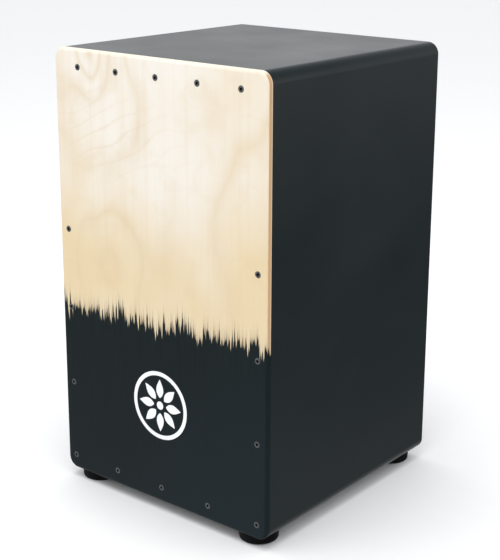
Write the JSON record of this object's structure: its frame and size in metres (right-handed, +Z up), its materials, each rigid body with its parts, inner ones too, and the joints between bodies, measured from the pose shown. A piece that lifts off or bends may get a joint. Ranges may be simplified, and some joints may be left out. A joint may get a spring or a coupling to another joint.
{
  "type": "cajon",
  "caption": "Box drum with a screwed-on playing plate, dip-stained below, a rear sound hole, rubber feet and snare strings tuned by a bolt under the box.",
  "frame": {"origin": "on the floor, under the middle of the box and its playing plate", "axes": "+Z up, -Y the front with the playing plate, +X to the right seen from the front"},
  "size_m": [0.29, 0.296, 0.491],
  "materials": {
    "plate_wood": "satin lacquer over pale birch ply, lower part stained black with a ragged edge",
    "black_panel": "satin black lacquer on fibreboard",
    "frame_wood": "bare planed softwood",
    "hard_wood": "bare planed beech",
    "foot_rubber": "matt moulded rubber",
    "black_steel": "black oxide",
    "zinc_steel": "bright zinc plate",
    "string_wire": "wound steel wire",
    "brass": "turned brass"
  },
  "bodies": {
    "cabinet": {"front_plate": "plate_wood", "left_side": "black_panel", "right_side": "black_panel", "top_panel": "black_panel", "bottom_panel": "black_panel", "back_panel": "black_panel", "top_rail": "frame_wood", "bottom_rail": "frame_wood", "left_stile": "frame_wood", "right_stile": "frame_wood", "rear_top_batten": "frame_wood", "rear_bottom_batten": "frame_wood", "rear_left_batten": "frame_wood", "rear_right_batten": "frame_wood", "upper_left_block": "frame_wood", "upper_right_block": "frame_wood", "lower_left_block": "frame_wood", "lower_right_block": "frame_wood", "plate_screws": "black_steel", "threaded_inserts": "brass", "front_left_foot": "foot_rubber", "front_right_foot": "foot_rubber", "rear_right_foot": "foot_rubber", "rear_left_foot": "foot_rubber", "foot_washers": "zinc_steel", "foot_screws": "zinc_steel", "snare_anchor_bar": "hard_wood", "anchor_screws": "zinc_steel", "snare_bridge": "hard_wood", "snare_strings": "string_wire", "string_ball_ends": "brass", "tension_bush": "brass", "guide_rods": "zinc_steel"},
    "tension_bolt": {"tension_bolt": "zinc_steel", "bolt_collar": "zinc_steel"},
    "tension_block": {"tension_block": "hard_wood", "string_ferrules": "brass"}
  },
  "joints": [
    {"name": "bolt_turn", "type": "hinge", "parent": "cabinet", "child": "tension_bolt", "pos_m": [0, -0.112, 0.011], "axis": [0, 0, 1], "range_deg": [0, 1080]},
    {"name": "block_slide", "type": "slide", "parent": "cabinet", "child": "tension_block", "axis": [0, 0, -1], "range_m": [0, 0.003], "deforming": ["snare_strings"]}
  ],
  "couplings": [
    {"joint": "block_slide", "follows": "bolt_turn", "m_per_rad": 0.00015915}
  ]
}
